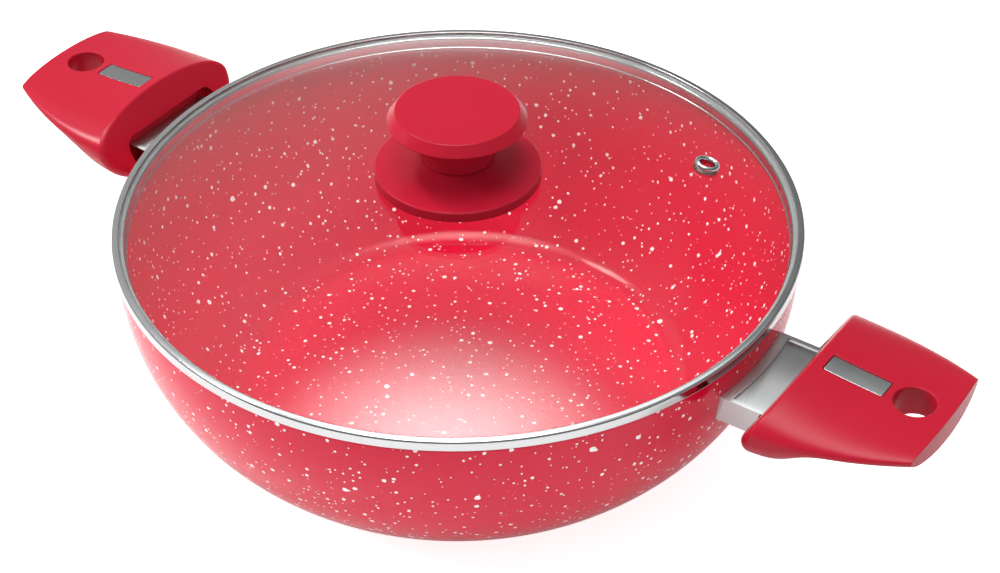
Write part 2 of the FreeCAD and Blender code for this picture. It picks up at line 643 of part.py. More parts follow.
def grip_profile(x):
    """Half width, edge height, crown height and depth under the edge of the grip's section at x."""
    start = number("pan_rim_radius + grip_start")
    place = max(x - start, 0) / number("grip_reach - grip_start")
    half_width = number("grip_inner_width / 2") - number("(grip_inner_width - grip_outer_width) / 2") * (
        place ** WIDTH_POWER)
    edge = number("pan_height - grip_edge_drop") + number("grip_edge_rise") * place ** EDGE_POWER
    crown = number("pan_height + grip_crown") + number("grip_crown_rise") * max(1 - place, 0) ** CROWN_POWER
    run = (x - number("pan_rim_radius + grip_bulge_end")) / number("grip_blade_start - grip_bulge_end")
    shrink = 0.5 - 0.5 * math.cos(math.pi * min(max(run, 0), 1))
    depth = number("grip_bulge") + number("grip_blade - grip_bulge") * shrink
    return half_width, edge, crown, depth


def quarter(middle, side, rise):
    """A quarter ellipse about middle, between its ends at side and at rise."""
    long, short = (side, rise) if side.Length >= rise.Length else (rise, side)
    ellipse = Part.Ellipse(middle + long, middle + short, middle)
    return Part.ArcOfEllipse(ellipse, 0, math.pi / 2).toShape()


def grip_section(x):
    """Section of the grip at x: a low half ellipse over the side edges and a deeper one under them."""
    half_width, edge, crown, depth = grip_profile(x)
    middle = FreeCAD.Vector(x, 0, edge)
    side, rise, fall = ACROSS * half_width, UP * (crown - edge), UP * -depth
    corners = [(side, rise), (side * -1, rise), (side * -1, fall), (side, fall)]
    return Part.Wire([quarter(middle, *pair) for pair in corners])


def grip_form(name):
    """The moulded form: a loft cut by the leaning inner face and the round outer end."""
    low, high = number("pan_rim_radius + grip_start"), number("pan_rim_radius + grip_reach")
    step = (high - low) / GRIP_SECTIONS
    sections = [grip_section(low + step * index) for index in range(-1, GRIP_SECTIONS + 2)]
    reach = Part.makeCylinder(high, high)
    reach.rotate(FreeCAD.Vector(), UP, 90)
    face_at = FreeCAD.Vector(number("pan_rim_radius + grip_stand_off"), 0, number("pan_height"))
    beside_pan = Part.makeBox(high, high, high, FreeCAD.Vector(-high, -high / 2, -high / 2))
    beside_pan.Placement = FreeCAD.Placement(face_at, FreeCAD.Rotation(ACROSS, number("grip_lean_angle")))
    form = doc.addObject("Part::Feature", name)
    form.Shape = Part.makeLoft(sections, True, False).common(reach).cut(beside_pan).Solids[0]
    return form


def rounded(name, base, rule):
    """The base with rounded edges; rule gives an edge's radii at its two ends, or None, from three points."""
    rounds = []
    for index, edge in enumerate(base.Shape.Edges, start=1):
        first, last = edge.ParameterRange
        radii = rule([edge.valueAt(place) for place in (first, (first + last) / 2, last)])
        if radii:
            rounds.append((index, *radii))
    result = doc.addObject("Part::Fillet", name)
    result.Base = base
    result.Edges = rounds
    doc.recompute()
    return result


def inner_face_rule(points):
    """Rounds the edge of the grip's leaning face: little at the crown, much at the belly."""
    lean = math.radians(number("grip_lean_angle"))
    normal = FreeCAD.Vector(math.cos(lean), 0, -math.sin(lean))
    face_at = FreeCAD.Vector(number("pan_rim_radius + grip_stand_off"), 0, number("pan_height"))
    if any(abs((point - face_at).dot(normal)) > NEAR for point in points):
        return None
    radii = []
    for end in (points[0], points[2]):
        if abs(end.y) > number("grip_side_round"):
            radii.append(number("grip_side_round"))
        else:
            # Crown and belly lie on the plane of symmetry, one over and one under the rim.
            radii.append(number("grip_crown_round" if end.z > face_at.z else "grip_belly_round"))
    return radii


def round_edge_rule(x, radius, rounding):
    """Rounds every curved edge that lies on an upright cylinder about (x, 0)."""
    def rule(points):
        off = max(abs(math.hypot(point.x - number(x), point.y) - number(radius)) for point in points)
        if off > NEAR or math.hypot(points[0].x - points[2].x, points[0].y - points[2].y) < NEAR:
            return None
        return [number(rounding)] * 2
    return rule


def block_rule(block, corner_round, edge_round):
    """Rounds what a block's four sides cut: the corners between them, and their edges away from its foot."""
    length, width = block.Length.Value, block.Width.Value

    def rule(points):
        local = [block.Placement.inverse().multVec(point) for point in points]
        on_end = all(min(abs(point.x), abs(point.x - length)) < NEAR for point in local)
        on_side = all(min(abs(point.y), abs(point.y - width)) < NEAR for point in local)
        if on_end and on_side:
            return [number(corner_round)] * 2
        if (on_end or on_side) and min(point.z for point in local) > number(edge_round):
            return [number(edge_round)] * 2
        return None
    return rule


def first_of(*rules):
    """The first rule that has radii for an edge."""
    return lambda points: next((radii for radii in (rule(points) for rule in rules) if radii), None)


def socket_hollow(side):
    """The recess in the grip round the bracket: a rounded rectangle from its back wall to the pan."""
    body = new_body(f"socket_{side}")
    sketch = sketch_on(body, f"socket_outline_{side}", "YZ_Plane", f"{BRACKET_END} + tongue_gap")
    half, low, high = "socket_width / 2", f"({BRACKET_LOW} - socket_fall)", f"({BRACKET_TOP} + socket_rise)"
    outline(sketch, [
        (f"socket_round - {half}", low),
        (f"{half} - socket_round", low),
        (half, f"{low} + socket_round"),
        (half, f"{high} - socket_round"),
        (f"{half} - socket_round", high),
        (f"socket_round - {half}", high),
        (f"-{half}", f"{high} - socket_round"),
        (f"-{half}", f"{low} + socket_round"),
    ], {side_number: ("socket_round", 1) for side_number in (1, 3, 5, 7)})
    extruded(body, "Pad", sketch, reverse=True, Length="socket_wall * 2")
    return body


def inlay_block(name, room, foot, height):
    """A block at the inlay's place, room wider all round, its foot along the crown that far under it."""
    half = number("inlay_length") / 2
    middle = number(INLAY_X)
    heights = [grip_profile(middle + end)[2] for end in (-half, half)]
    tilt = FreeCAD.Rotation(ACROSS, math.degrees(math.atan2(heights[0] - heights[1], 2 * half)))
    block = doc.addObject("Part::Box", name)
    bind(block, Length=f"inlay_length + 2 * ({room})", Width=f"inlay_width + 2 * ({room})", Height=height)
    corner = FreeCAD.Vector(-half - number(room), -number(f"inlay_width / 2 + {room}"), -number(foot))
    at = FreeCAD.Vector(middle, 0, sum(heights) / 2)
    block.Placement = FreeCAD.Placement(at, tilt) * FreeCAD.Placement(corner, FreeCAD.Rotation())
    return block


def add_handle(side, placement):
    """One handle on +X, each of its sub-parts placed as given."""
    studs = stud_rods(f"stud_{side}", "stud_radius", "nut_thickness + stud_reach")
    keep(cut(f"studs_{side}", group(f"stud_pair_{side}", *studs), pan_clear(f"stud_clear_{side}")),
         f"weld_studs_{side}", placement)
    keep(group(f"nuts_{side}", *stud_nuts(side)), f"stud_nuts_{side}", placement)

    # The bracket stops at the pan's wall and is bored for the studs and the grip's screw.
    bores = stud_rods(f"stud_bore_{side}", "stud_radius + screw_gap", "screw_gap")
    tongue_bore = cylinder(f"tongue_bore_{side}", "grip_screw_radius + screw_gap", "bracket_height",
                           GRIP_SCREW_X, "0", BRACKET_LOW)
    keep(cut(f"bracket_{side}", bracket_blank(side), pan_clear(f"bracket_clear_{side}"), *bores, tongue_bore),
         f"handle_bracket_{side}", placement)

    # The grip has a recess for the bracket, a slot for its tongue, and holes for screw, insert and hook.
    form = grip_form(f"grip_form_{side}")
    slot = block(f"tongue_slot_{side}", "tongue_length + tongue_gap + socket_wall / 2",
                 "tongue_width + 2 * tongue_gap", "bracket_plate + 2 * tongue_gap",
                 f"{BRACKET_END} - socket_wall / 2", "-(tongue_width / 2 + tongue_gap)",
                 f"{PLATE_LOW} - tongue_gap")
    screw_bore = cylinder(f"grip_screw_bore_{side}", "grip_screw_radius + screw_gap",
                          f"{PLATE_TOP} - {GRIP_SCREW_SEAT}", GRIP_SCREW_X, "0", GRIP_SCREW_SEAT)
    sink = cylinder(f"grip_screw_sink_{side}", "grip_screw_head_radius + grip_screw_room",
                    GRIP_SCREW_SEAT, GRIP_SCREW_X, "0", "0")
    insert_bore = cylinder(f"grip_insert_bore_{side}", "grip_insert_radius + insert_gap",
                           "grip_insert_length + tongue_gap", GRIP_SCREW_X, "0", PLATE_TOP)
    hang_hole = cylinder(f"hang_hole_{side}", "hang_hole_radius", "pan_height * 2", HANG_HOLE_X, "0", "0")
    pocket = inlay_block(f"inlay_pocket_{side}", "inlay_gap", "inlay_thickness + inlay_sink", "pan_height")
    soft_form = rounded(f"soft_form_{side}", form, inner_face_rule)
    bored = cut(f"bored_grip_{side}", soft_form, socket_hollow(side), slot, screw_bore, sink, insert_bore,
                hang_hole, pocket)
    doc.recompute()
    keep(rounded(f"finished_grip_{side}", bored, first_of(
        round_edge_rule(HANG_HOLE_X, "hang_hole_radius", "hang_hole_round"),
        round_edge_rule("0", "pan_rim_radius + grip_reach", "grip_end_round"),
        block_rule(pocket, "inlay_corner_round + inlay_gap", "inlay_edge_round"),
    )), f"grip_{side}", placement)

    # The inlay is a block under a lowered copy of the grip's own top.
    lowered = doc.addObject("Part::Feature", f"lowered_form_{side}")
    lowered.Shape = form.Shape
    shift(lowered, z="-inlay_sink")
    blank = inlay_block(f"inlay_blank_{side}", "0", "inlay_thickness + inlay_sink", "pan_height")
    plate = doc.addObject("Part::Common", f"inlay_plate_{side}")
    plate.Base = blank
    plate.Tool = lowered
    doc.recompute()
    plate_rule = block_rule(blank, "inlay_corner_round", "inlay_edge_round")
    keep(rounded(f"finished_inlay_{side}", plate, plate_rule), f"grip_inlay_{side}", placement)

    insert = cylinder(f"insert_rod_{side}", "grip_insert_radius", "grip_insert_length",
                      GRIP_SCREW_X, "0", GRIP_INSERT_LOW)
    insert_hole = cylinder(f"insert_hole_{side}", "grip_screw_radius + screw_gap", "grip_insert_length * 2",
                           GRIP_SCREW_X, "0", PLATE_LOW)
    keep(cut(f"insert_{side}", insert, insert_hole), f"grip_insert_{side}", placement)
    head = cylinder(f"screw_head_{side}", "grip_screw_head_radius", "grip_screw_head_height",
                    GRIP_SCREW_X, "0", f"{GRIP_SCREW_SEAT} - grip_screw_head_height")
    shank = cylinder(f"screw_shank_{side}", "grip_screw_radius",
                     f"{GRIP_INSERT_LOW} + grip_insert_length - grip_screw_end_room - {GRIP_SCREW_SEAT}",
                     GRIP_SCREW_X, "0", GRIP_SCREW_SEAT)
    keep(joined(f"screw_{side}", head, shank), f"grip_screw_{side}", placement)


for side, angle in SIDES:
    add_handle(side, FreeCAD.Placement(FreeCAD.Vector(), FreeCAD.Rotation(UP, angle)))

# ---------------------------------------------------------------- checks and export
doc.recompute()
for thing in doc.Objects:
    if {"Invalid", "Error"} & set(thing.State):
        raise SystemExit(f"{thing.Label} did not compute: {thing.State}")
for piece in parts:
    if piece.Shape.isNull() or not piece.Shape.isValid():
        raise SystemExit(f"{piece.Label} has no valid shape")

os.makedirs("parts", exist_ok=True)
for piece in parts:
    piece.Shape.exportStep(f"parts/{piece.Label}.step")
    box = piece.Shape.BoundBox
    print(f"{piece.Label}: {len(piece.Shape.Solids)} solids, {piece.Shape.Volume:.0f} mm3, "
          f"Z {box.ZMin:.2f} to {box.ZMax:.2f}")
print(f"{len(parts)} sub-parts")
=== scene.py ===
# %% [markdown]
# # A red speckled wok with a glass lid
# The object is a low, wide wok for the hob. Its body is coated aluminium, its two grips and its
# knob are moulded phenolic, and its lid is a tempered dome held in a steel band. The CAD model
# gives every size and every place. Blender adds what a CAD solid has not: rounded sheet edges,
# turned and brushed faces, a coating with specks, and light.

# %% Load the CAD model as the frame
import math

import bmesh
import bpy
from mathutils import Matrix, Vector


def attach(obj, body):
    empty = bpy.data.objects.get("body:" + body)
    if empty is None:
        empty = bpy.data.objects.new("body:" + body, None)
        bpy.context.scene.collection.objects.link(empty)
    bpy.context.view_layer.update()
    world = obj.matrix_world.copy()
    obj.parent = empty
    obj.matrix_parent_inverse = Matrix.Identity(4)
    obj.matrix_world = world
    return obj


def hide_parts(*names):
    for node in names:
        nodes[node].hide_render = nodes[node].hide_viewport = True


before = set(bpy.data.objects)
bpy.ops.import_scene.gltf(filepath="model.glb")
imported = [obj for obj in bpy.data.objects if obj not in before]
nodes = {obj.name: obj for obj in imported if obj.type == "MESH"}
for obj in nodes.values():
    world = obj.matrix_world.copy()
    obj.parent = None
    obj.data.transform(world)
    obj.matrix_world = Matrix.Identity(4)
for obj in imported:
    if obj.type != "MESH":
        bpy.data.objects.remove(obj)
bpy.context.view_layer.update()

MM = 0.001

# %% [markdown]
# ## The camera
# The camera stands in front and to the right, about a metre away, and looks down at the lid. A
# long lens keeps the round rim close to a true ellipse, as in a catalogue picture. It could be
# aimed by a constraint, but three plain directions are easier to read back and to change.

# %% Place the camera
LENS_MM, SENSOR_MM = 79.48, 36
CAMERA_PLACE = (0.4228, -0.5873, 0.6230)
camera_data = bpy.data.cameras.new("camera")
camera_data.lens = LENS_MM
camera_data.sensor_width = SENSOR_MM
camera_data.clip_start = 0.01
camera = bpy.data.objects.new("camera", camera_data)
bpy.context.scene.collection.objects.link(camera)
bpy.context.scene.camera = camera

ahead = Vector((-0.4441, 0.6481, -0.6187)).normalized()
right = Vector((0.8249, 0.5653, 0.0)).normalized()
above = right.cross(ahead)
turn = Matrix((right, above, -ahead)).transposed()
camera.matrix_world = Matrix.Translation(CAMERA_PLACE) @ turn.to_4x4()
print("camera", round(camera.location.length, 3), "m from the wok's foot")

# %% [markdown]
# ## Helpers for colour and nodes
# Colours are written as sRGB hex values, as a maker's colour card gives them. Blender's shaders
# work in linear light, so one function turns the one into the other. A second function adds any
# node with its settings and its links, so that a material reads as a list of steps. The five
# steps that come back in nearly every material get a short name each.


# %% Colour from a hex value, and one function that adds a node
def colour(hex_value):
    """Linear RGBA of an sRGB hex value such as "CC2233"."""
    channels = [int(hex_value[at:at + 2], 16) / 255 for at in (0, 2, 4)]
    linear = [c / 12.92 if c <= 0.04045 else ((c + 0.055) / 1.055) ** 2.4 for c in channels]
    return (*linear, 1.0)


def add(tree, kind, inputs=None, **settings):
    """A new node.

    An input is a value, another node's output, or a node, which gives its first output in use.
    """
    made = tree.nodes.new(kind)
    for name, value in settings.items():
        setattr(made, name, value)
    for name, value in (inputs or {}).items():
        named = made.inputs[name] if isinstance(name, int) else next(
            socket for socket in made.inputs if socket.name == name and socket.enabled)
        if isinstance(value, bpy.types.Node):
            value = next(socket for socket in value.outputs if socket.enabled)
        if isinstance(value, bpy.types.NodeSocket):
            tree.links.new(value, named)
        else:
            named.default_value = value
    return made


def join(tree, source, target, name):
    """Links a node's first output in use to a named input."""
    first = next(socket for socket in source.outputs if socket.enabled)
    tree.links.new(first, target.inputs[name])


print("a red of the grips in linear light:", colour("C8202F"))


# %% Short names for the steps that come back
def maths(tree, operation, *values, clamp=False):
    """One operation on numbers, outputs or nodes."""
    return add(tree, "ShaderNodeMath", dict(enumerate(values)), operation=operation,
               use_clamp=clamp)


def ramp(tree, value, start, end, low, high, shape="LINEAR"):
    """A value between start and end turned into one between low and high."""
    inputs = {"Value": value, "From Min": start, "From Max": end, "To Min": low, "To Max": high}
    return add(tree, "ShaderNodeMapRange", inputs, interpolation_type=shape)


def noise(tree, place, scale, detail):
    """Clouds of about 1 / scale across, with so many octaves of detail."""
    return add(tree, "ShaderNodeTexNoise", {"Vector": place, "Scale": scale, "Detail": detail})


def blend(tree, factor, first, second):
    """Two colours mixed; each is a hex value or a node."""
    first, second = (colour(end) if isinstance(end, str) else end for end in (first, second))
    return add(tree, "ShaderNodeMix", {"Factor": factor, "A": first, "B": second},
               data_type="RGBA")


def emboss(tree, surface, height, strength, depth):
    """Shades a surface as if it rose with a height of 0 to 1, by a depth in mm."""
    bump = add(tree, "ShaderNodeBump", {"Height": height, "Strength": strength,
                                        "Distance": depth * MM})
    join(tree, bump, surface, "Normal")
    return bump


print("five short names: maths, ramp, noise, blend and emboss")

# %% [markdown]
# ## The studio
# A small product like this is shown on a white table under large soft lamps, in a room that is
# darker than the table. The room could be built as walls, but a world colour does the same for
# less. The eye sees the world white, also through the glass. As light it is weaker, so that it
# fills the shadows and does not wash out the reds. In reflections it is a room: pale near the
# floor, dark at the height of the walls, a little lighter again above, and with a tall window
# on the left. Polished steel needs that change of light and dark to look like steel.

# %% Paint the room that polished faces mirror
world = bpy.data.worlds.new("studio")
bpy.context.scene.world = world
world.use_nodes = True
sky = world.node_tree
sky.nodes.clear()
direction = add(sky, "ShaderNodeTexCoord")
side = add(sky, "ShaderNodeSeparateXYZ", {"Vector": direction.outputs["Generated"]})
east, up = side.outputs["X"], side.outputs["Z"]

# Each ramp follows a direction from one part of it to another, and gives the brightness at both.
leftward = ramp(sky, east, 0.3, -0.95, 0.85, 1.1)
pale_foot = ramp(sky, up, -0.02, 0.15, 0.55, 0.0, "SMOOTHSTEP")
walls = ramp(sky, up, 0.1, 0.5, 0.30, 0.22)
ceiling = ramp(sky, up, 0.68, 1.0, 0.0, 0.6)
upper = maths(sky, "ADD", walls, ceiling)
height = maths(sky, "ADD", upper, pale_foot)
turned = maths(sky, "MULTIPLY", leftward, height)
window = ramp(sky, east, -0.40, -0.68, 0.0, 1.0, "SMOOTHSTEP")
taller = ramp(sky, up, 0.1, 0.65, 0.08, 0.38)
room = maths(sky, "MULTIPLY_ADD", window, taller, turned)
print("room of", len(sky.nodes), "nodes")


# %% Make the world white to the eye and weaker as light
def through_glass_alone(tree, ray):
    """1 for a ray that has gone through glass and has bounced off nothing yet."""
    bounced = maths(tree, "ADD", ray.outputs["Glossy Depth"], ray.outputs["Diffuse Depth"],
                    clamp=True)
    return maths(tree, "SUBTRACT", ray.outputs["Is Transmission Ray"], bounced, clamp=True)


FILL_LIGHT = 0.56
ray = add(sky, "ShaderNodeLightPath")
through = through_glass_alone(sky, ray)
seen = maths(sky, "MAXIMUM", ray.outputs["Is Camera Ray"], through)
mirror = maths(sky, "GREATER_THAN", ray.outputs["Glossy Depth"], ray.outputs["Diffuse Depth"])
as_light = add(sky, "ShaderNodeMix", {"Factor": mirror, "A": FILL_LIGHT, "B": room})
strength = add(sky, "ShaderNodeMix", {"Factor": seen, "A": as_light, "B": 1.0})
background = add(sky, "ShaderNodeBackground", {"Color": colour("FFFFFF"), "Strength": strength})
add(sky, "ShaderNodeOutputWorld", {"Surface": background})
bpy.context.scene.view_settings.view_transform = "Standard"
print("world fill light", FILL_LIGHT)

# %% [markdown]
# The lamps are softboxes. A real one is brightest in its middle and falls off to its cloth edge,
# and that soft edge is what the eye reads in the glass and the enamel. Each lamp's nodes fade it
# out from the middle. A wide one hangs overhead, and a second one over the dome lights what is
# seen through it. A smaller one stands high on the left and throws the knob's shadow, and its
# twin draws the thin bright ring under the glass. A low one on the left lights the flank, a
# small one draws the bright edge of the left grip, and a far strip behind gives the flat steel
# faces their white.

# %% Hang the lamps
GLASS_LAMP_LIFT = 200  # how much brighter a face is than its energy says
AIM = Vector((0, 0, 0.05))


def softbox(name, place, size, brightness, solid=0.3, dull_share=None, faces_crossed=-1.0):
    """A lamp in metres, aimed at the wok; brightness 1 is white paper, solid is its even share.

    A lamp for the glass alone gives a share of its light to what is dull under it, and it may
    be told to show only after a number of glass faces. Its energy stays low and its face makes
    up for that, so that the renderer spends no samples on it elsewhere.
    """
    data = bpy.data.lights.new(name, "AREA")
    data.shape = "RECTANGLE"
    data.size, data.size_y = size
    data.energy = brightness * math.pi * size[0] * size[1]
    data.use_nodes = True
    tree = data.node_tree
    tree.nodes.clear()
    face = add(tree, "ShaderNodeNewGeometry")
    centred = add(tree, "ShaderNodeVectorMath",
                  {0: face.outputs["Parametric"], 1: (0.5, 0.5, 0.0)}, operation="SUBTRACT")
    out = add(tree, "ShaderNodeVectorMath", {0: centred}, operation="LENGTH")
    fade = ramp(tree, out.outputs["Value"], 0.5 * solid, 0.5, 1.0, 0.0, "SMOOTHSTEP")
    if dull_share is not None:
        data.energy /= GLASS_LAMP_LIFT
        ray = add(tree, "ShaderNodeLightPath")
        dull = maths(tree, "MINIMUM", ray.outputs["Diffuse Depth"], 1.0)
        shiny = maths(tree, "MULTIPLY_ADD", dull, dull_share - 1.0, 1.0)
        below = maths(tree, "GREATER_THAN", ray.outputs["Transmission Depth"], faces_crossed)
        shown = maths(tree, "MULTIPLY", shiny, below)
        lifted = maths(tree, "MULTIPLY", shown, GLASS_LAMP_LIFT)
        fade = maths(tree, "MULTIPLY", fade, lifted)
    light = add(tree, "ShaderNodeEmission", {"Strength": fade})
    add(tree, "ShaderNodeOutputLight", {"Surface": light})
    made = bpy.data.objects.new(name, data)
    bpy.context.scene.collection.objects.link(made)
    made.location = place
    made.rotation_mode = "QUATERNION"
    made.rotation_quaternion = (AIM - Vector(place)).to_track_quat("-Z", "Y")
    return made


overhead = softbox("overhead_softbox", (-0.02, -0.06, 1.40), (1.3, 1.3), 8.4, solid=0.0)
dome_lamp = softbox("dome_softbox", (-0.04, -0.04, 1.40), (1.4, 1.4), 10.5, solid=0.0,
                    dull_share=0.9)
left_lamp = softbox("left_softbox", (-0.86, -0.06, 1.40), (0.42, 0.42), 40.0)
glint = softbox("left_softbox_under_glass", (-0.80, 0.15, 1.40), (0.55, 0.3), 56.0,
                dull_share=0.0, faces_crossed=2.5)
strip = softbox("strip_softbox", (-2.05, 2.70, 3.85), (3.2, 1.3), 1.6, solid=0.85)
low_lamp = softbox("low_left_softbox", (-1.90, -0.80, 0.90), (1.4, 1.0), 15.0)
grip_lamp = softbox("left_grip_softbox", (-1.33, -0.74, 1.40), (0.6, 0.5), 55.0)
for lamp in (dome_lamp, glint, grip_lamp):
    lamp.visible_diffuse = False
for lamp in (glint, low_lamp):
    lamp.visible_glossy = False
print("seven softboxes")

# %% [markdown]
# The table is one wide plane. Its own colour is nearly white, and what the camera sees of it is
# lifted a little, so that it meets the white background while the wok's shadow stays on it. What
# is seen through the glass is lifted less, or the raised lid would vanish in front of it.

# %% Lay the table
HALF_TABLE = 6.0
UNDER_THE_WOK = 0.2 * MM
corners = [(-HALF_TABLE, -HALF_TABLE, 0), (HALF_TABLE, -HALF_TABLE, 0),
           (HALF_TABLE, HALF_TABLE, 0), (-HALF_TABLE, HALF_TABLE, 0)]
table_mesh = bpy.data.meshes.new("table")
table_mesh.from_pydata(corners, [], [(0, 1, 2, 3)])
table = bpy.data.objects.new("table", table_mesh)
bpy.context.scene.collection.objects.link(table)
table.location.z = -UNDER_THE_WOK
print("table", 2 * HALF_TABLE, "m wide")

# %% Cover it with white paper
LIFT, LESS_THROUGH_GLASS, LIFT_IN_MIRRORS = 0.80, -0.33, 0.12
paper = bpy.data.materials.new("matt_white_paper")
paper.use_nodes = True
tree = paper.node_tree
tree.nodes.clear()
ray = add(tree, "ShaderNodeLightPath")
matt = add(tree, "ShaderNodeBsdfDiffuse", {"Color": colour("F2F2F2")})
through = through_glass_alone(tree, ray)
mirrored = maths(tree, "MULTIPLY", ray.outputs["Is Glossy Ray"], LIFT_IN_MIRRORS)
behind_glass = maths(tree, "MULTIPLY_ADD", through, LESS_THROUGH_GLASS, mirrored)
lift = maths(tree, "MULTIPLY_ADD", ray.outputs["Is Camera Ray"], LIFT, behind_glass)
glow = add(tree, "ShaderNodeEmission", {"Color": colour("FFFFFF"), "Strength": lift})
both = add(tree, "ShaderNodeAddShader", {0: matt, 1: glow})
add(tree, "ShaderNodeOutputMaterial", {"Surface": both})
table_mesh.materials.append(paper)
print("paper of", len(tree.nodes), "nodes")


# %% [markdown]
# ## Materials
# Each finish starts from the real substance. A helper opens a material with one Principled
# surface, and a second one gives places on the object in millimetres, so that every pattern is
# set by its real size.


# %% Open a material, and measure places in millimetres
def finish(name, base, **sockets):
    """A material with one Principled surface; sockets are its input names with _ for a space."""
    made = bpy.data.materials.new(name)
    made.use_nodes = True
    tree = made.node_tree
    tree.nodes.clear()
    inputs = {key.replace("_", " "): value for key, value in sockets.items()}
    surface = add(tree, "ShaderNodeBsdfPrincipled", {"Base Color": colour(base), **inputs})
    add(tree, "ShaderNodeOutputMaterial", {"Surface": surface})
    return made, tree, surface


def millimetres(tree):
    """Places on the object, in millimetres."""
    place = add(tree, "ShaderNodeTexCoord")
    return add(tree, "ShaderNodeVectorMath", {0: place.outputs["Object"], "Scale": 1 / MM},
               operation="SCALE")


print("materials open with finish() and are measured by millimetres()")

# %% [markdown]
# ### Speckled non-stick enamel
# The pan is sprayed: a red ground, then white drops flicked on while it is wet, then a clear
# coat. The drops are round and of all sizes, most of them well under a millimetre, a few over
# two. Painted dots would need an unwrapped surface, so the drops are cut out of space instead: a
# Voronoi pattern puts one ball at random in each cell, and where the wall cuts through a ball
# there is a round spot. Three layers give three sizes. The clear coat is what shines, a little
# soft from the spray's orange peel. It is a fluoropolymer, so its IOR is only 1.38 and it shines
# less than glass enamel would.

# %% Spray the pan
DROP_LAYERS = [(2.8, 0.12, 0.62), (5.6, 0.35, 1.05), (10.5, -0.6, 1.45)]  # cell and radii, mm
RED_GROUND, RED_CLOUD = "DE1038", "D8123A"
WOBBLE = 0.7  # mm, so that no drop is quite round


def drops(tree, place, cell, smallest, largest, edge=0.12):
    """1 inside the drops of one layer: one per cell, radii and soft edge in millimetres.

    A smallest radius below zero leaves a share of the cells without a drop.
    """
    balls = add(tree, "ShaderNodeTexVoronoi", {"Vector": place, "Scale": 1 / cell}, feature="F1")
    pick = add(tree, "ShaderNodeSeparateColor", {"Color": balls.outputs["Color"]})
    radius = ramp(tree, pick.outputs["Red"], 0.0, 1.0, smallest / cell, largest / cell)
    inside = maths(tree, "SUBTRACT", radius, balls.outputs["Distance"])
    return maths(tree, "MULTIPLY", inside, cell / edge, clamp=True)


enamel, tree, surface = finish("speckled_nonstick_enamel", RED_GROUND, Roughness=0.5,
                               Specular_IOR_Level=0.0, Coat_Weight=1.0, Coat_Roughness=0.10,
                               Coat_IOR=1.38)
place = millimetres(tree)
wobble = noise(tree, place, 0.9, 1.0)
centred = add(tree, "ShaderNodeVectorMath", {0: wobble.outputs["Color"], 1: (0.5, 0.5, 0.5)},
              operation="SUBTRACT")
pushed = add(tree, "ShaderNodeVectorMath", {0: centred, 1: (WOBBLE, WOBBLE, WOBBLE), 2: place},
             operation="MULTIPLY_ADD")
fine, medium, large = (drops(tree, pushed, *layer) for layer in DROP_LAYERS)
two = maths(tree, "MAXIMUM", fine, medium)
all_drops = maths(tree, "MAXIMUM", two, large)
red = blend(tree, noise(tree, place, 0.02, 2.0), RED_GROUND, RED_CLOUD)
join(tree, blend(tree, all_drops, red, "FFFFFF"), surface, "Base Color")
peel = emboss(tree, surface, noise(tree, place, 0.35, 2.0), 0.25, 0.04)
join(tree, peel, surface, "Coat Normal")
print("enamel of", len(tree.nodes), "nodes")

# %% [markdown]
# ### Moulded phenolic
# Grips and knob are phenolic resin pressed in a steel mould that was blasted fine. The eye gets
# an even red with a broad, soft shine, and close up a very fine grain. The grain is 0.3 mm,
# coarser than a real blasted mould's, so that it shows at all.

# %% Press the phenolic
phenolic, tree, surface = finish("moulded_red_phenolic", "B81930", Roughness=0.26, IOR=1.5,
                                 Specular_IOR_Level=0.17)
place = millimetres(tree)
red = blend(tree, noise(tree, place, 0.03, 3.0), "AA172C", "B31A30")
join(tree, red, surface, "Base Color")
grain = noise(tree, place, 3.3, 2.0)
join(tree, ramp(tree, grain, 0.0, 1.0, 0.21, 0.28), surface, "Roughness")
emboss(tree, surface, grain, 0.2, 0.02)
print("phenolic of", len(tree.nodes), "nodes")

# %% [markdown]
# ### Stainless steel, polished and brushed
# The band and the brackets are stainless sheet, polished after pressing: nearly a mirror, with a
# faint haze where the buffing wheel ran. The inlays in the grips are brushed along their length:
# a duller grey with fine lines that spread the light across them. Screws, studs and nuts are
# plated, and the threaded inserts are turned from brass.


# %% Polish and brush the steel
def steel(name, tone, dullest, brightest, stretch, depth):
    """Metal with lines, so many per mm along X, Y and Z, and so many mm deep."""
    made, tree, surface = finish(name, tone, Metallic=1.0, Roughness=(dullest + brightest) / 2)
    lines = add(tree, "ShaderNodeVectorMath", {0: millimetres(tree), 1: stretch},
                operation="MULTIPLY")
    streak = noise(tree, lines, 1.0, 3.0)
    join(tree, ramp(tree, streak, 0.3, 0.7, brightest, dullest), surface, "Roughness")
    emboss(tree, surface, streak, 0.3, depth)
    return made


polished = steel("polished_stainless_sheet", "CDCFD0", 0.14, 0.09, (0.05, 0.05, 2.5), 0.0008)
brushed = steel("brushed_stainless_inlay", "A9ABAB", 0.26, 0.22, (0.02, 3.0, 3.0), 0.0004)
plated = steel("zinc_plated_steel", "B4B9C0", 0.34, 0.24, (1.5, 1.5, 1.5), 0.01)
brass = steel("turned_brass", "C9A45C", 0.32, 0.22, (0.3, 0.3, 5.0), 0.01)
print("four metals")

# %% [markdown]
# The bracket's rim and cheeks are polished, and its sunk top plate is only satin: the wheel does
# not reach into it. So the roughness follows the way a face looks, and what faces up is satin.
# The press leaves the plate a little crowned across its width and sloped along its length, which
# a bump as wide as the plate gives.

